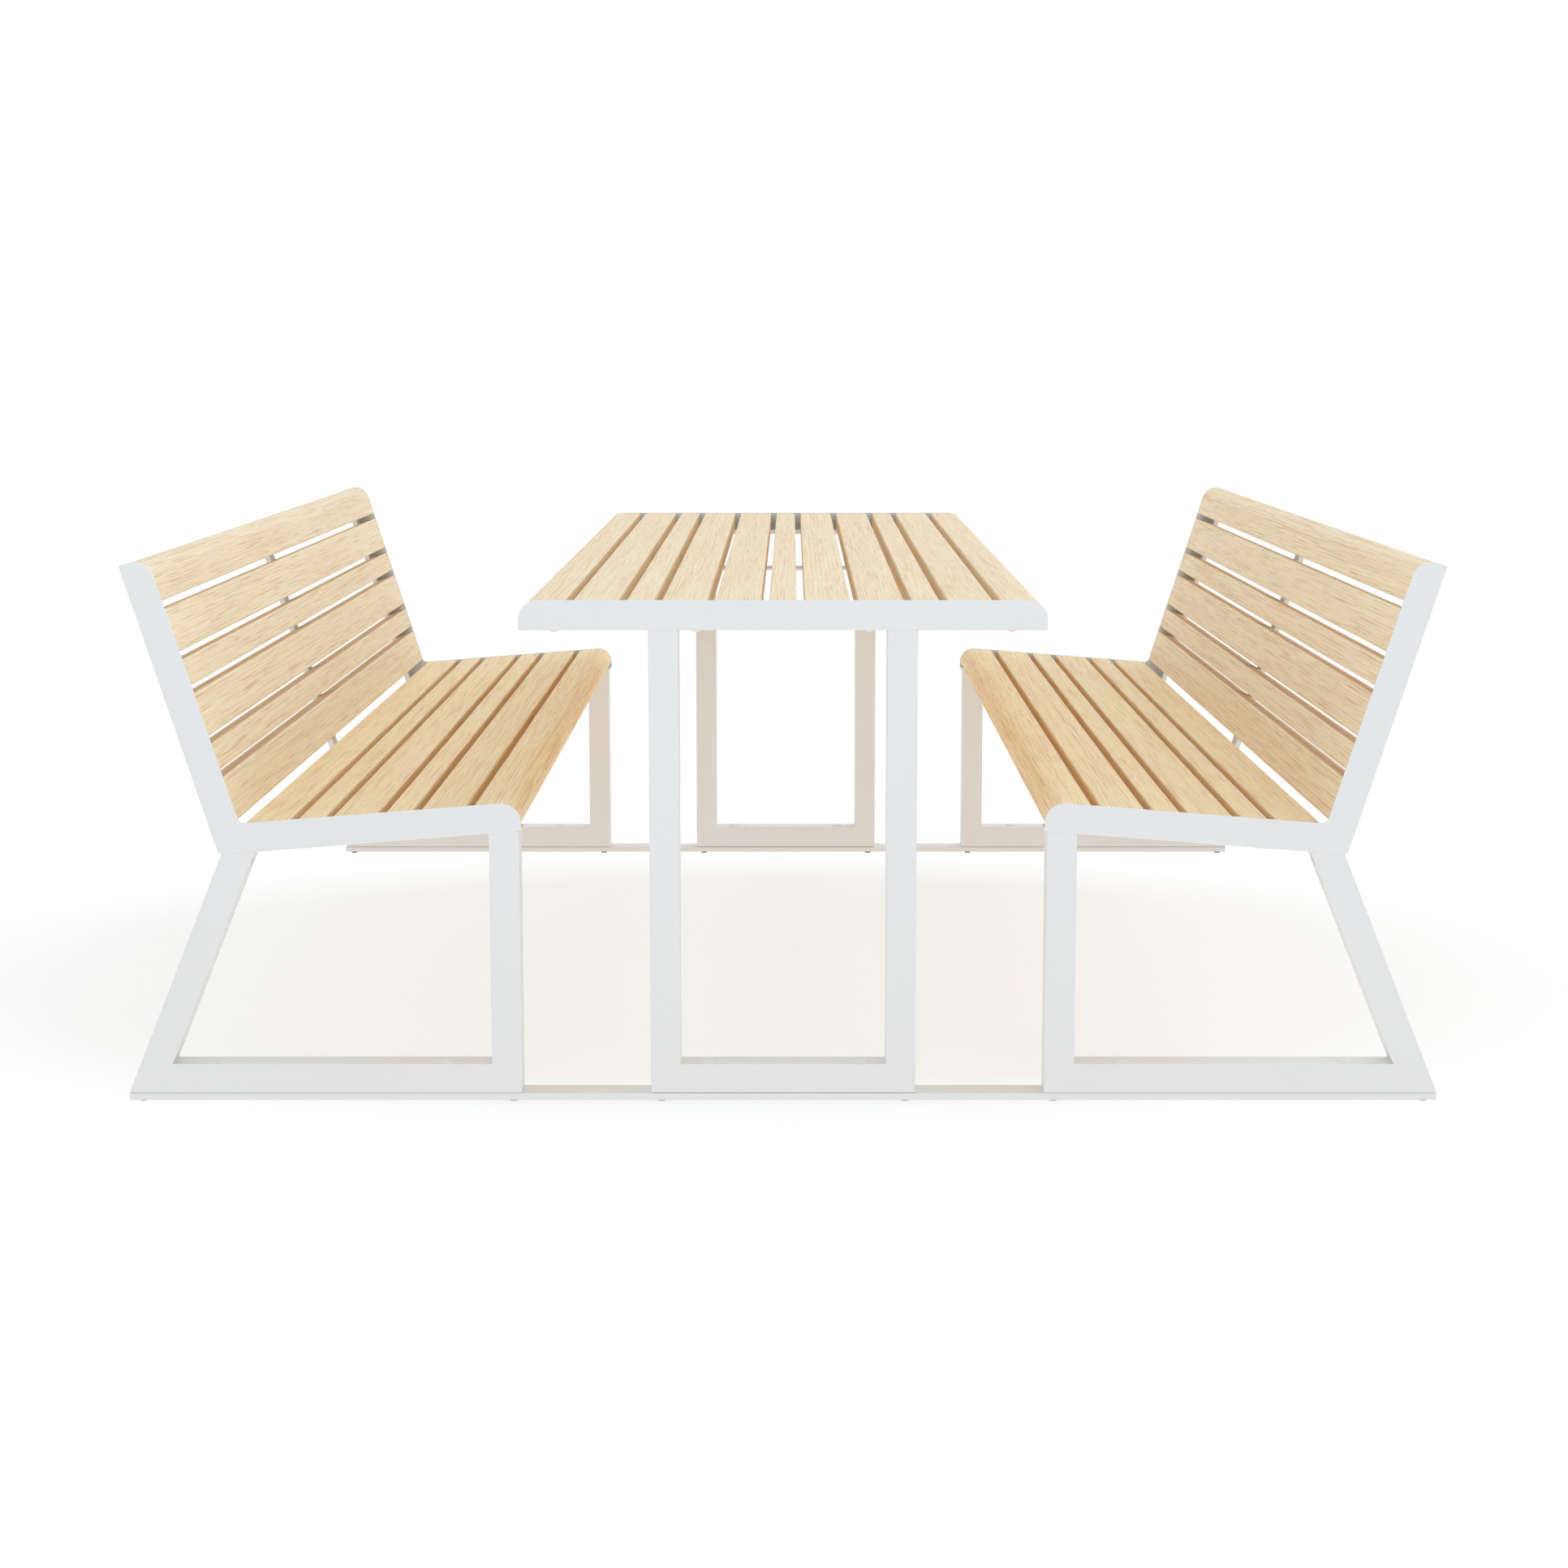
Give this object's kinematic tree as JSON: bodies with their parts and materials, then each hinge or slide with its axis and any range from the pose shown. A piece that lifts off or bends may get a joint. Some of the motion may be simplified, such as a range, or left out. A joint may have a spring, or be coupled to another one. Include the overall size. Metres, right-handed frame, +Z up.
{
  "type": "table with benches",
  "caption": "Outdoor table joined to a facing pair of benches with slanted backs by one steel base of floor rails and tube leg frames, with timber slats held between folded steel end plates.",
  "frame": {"origin": "on the ground under the middle of the table, halfway between the benches and between the two ends", "axes": "+X runs across the set from the left bench to the right bench, +Y along the slats towards the rear end, +Z up"},
  "size_m": [1.9418, 2.2687, 0.8053],
  "materials": {
    "white_steel": "satin white powder coat with a faint fine texture",
    "table_timber": "pale oiled timber with fine straight grain, matt",
    "bench_timber": "pale oiled timber with fine straight grain, matt, a shade warmer than the table"
  },
  "bodies": {
    "root": {"base_rail_front": "white_steel", "base_rail_rear": "white_steel", "table_leg_frame_front": "white_steel", "table_leg_frame_rear": "white_steel", "table_end_plate_front": "white_steel", "table_end_plate_rear": "white_steel", "table_slat_bar_front": "white_steel", "table_slat_bar_middle": "white_steel", "table_slat_bar_rear": "white_steel", "table_slat_01": "table_timber", "table_slat_02": "table_timber", "table_slat_03": "table_timber", "table_slat_04": "table_timber", "table_slat_05": "table_timber", "table_slat_06": "table_timber", "table_slat_07": "table_timber", "table_slat_08": "table_timber", "table_slat_09": "table_timber", "table_slat_10": "table_timber", "table_slat_11": "table_timber", "left_leg_frame_front": "white_steel", "left_leg_frame_rear": "white_steel", "left_side_plate_front": "white_steel", "left_side_plate_rear": "white_steel", "left_slat_bar_front": "white_steel", "left_slat_bar_rear": "white_steel", "left_middle_support": "white_steel", "left_seat_slat_1": "bench_timber", "left_seat_slat_2": "bench_timber", "left_seat_slat_3": "bench_timber", "left_seat_slat_4": "bench_timber", "left_seat_slat_5": "bench_timber", "left_seat_slat_6": "bench_timber", "left_back_slat_1": "bench_timber", "left_back_slat_2": "bench_timber", "left_back_slat_3": "bench_timber", "left_back_slat_4": "bench_timber", "left_back_slat_5": "bench_timber", "left_back_slat_6": "bench_timber", "right_leg_frame_front": "white_steel", "right_leg_frame_rear": "white_steel", "right_side_plate_front": "white_steel", "right_side_plate_rear": "white_steel", "right_slat_bar_front": "white_steel", "right_slat_bar_rear": "white_steel", "right_middle_support": "white_steel", "right_seat_slat_1": "bench_timber", "right_seat_slat_2": "bench_timber", "right_seat_slat_3": "bench_timber", "right_seat_slat_4": "bench_timber", "right_seat_slat_5": "bench_timber", "right_seat_slat_6": "bench_timber", "right_back_slat_1": "bench_timber", "right_back_slat_2": "bench_timber", "right_back_slat_3": "bench_timber", "right_back_slat_4": "bench_timber", "right_back_slat_5": "bench_timber", "right_back_slat_6": "bench_timber"}
  },
  "joints": []
}
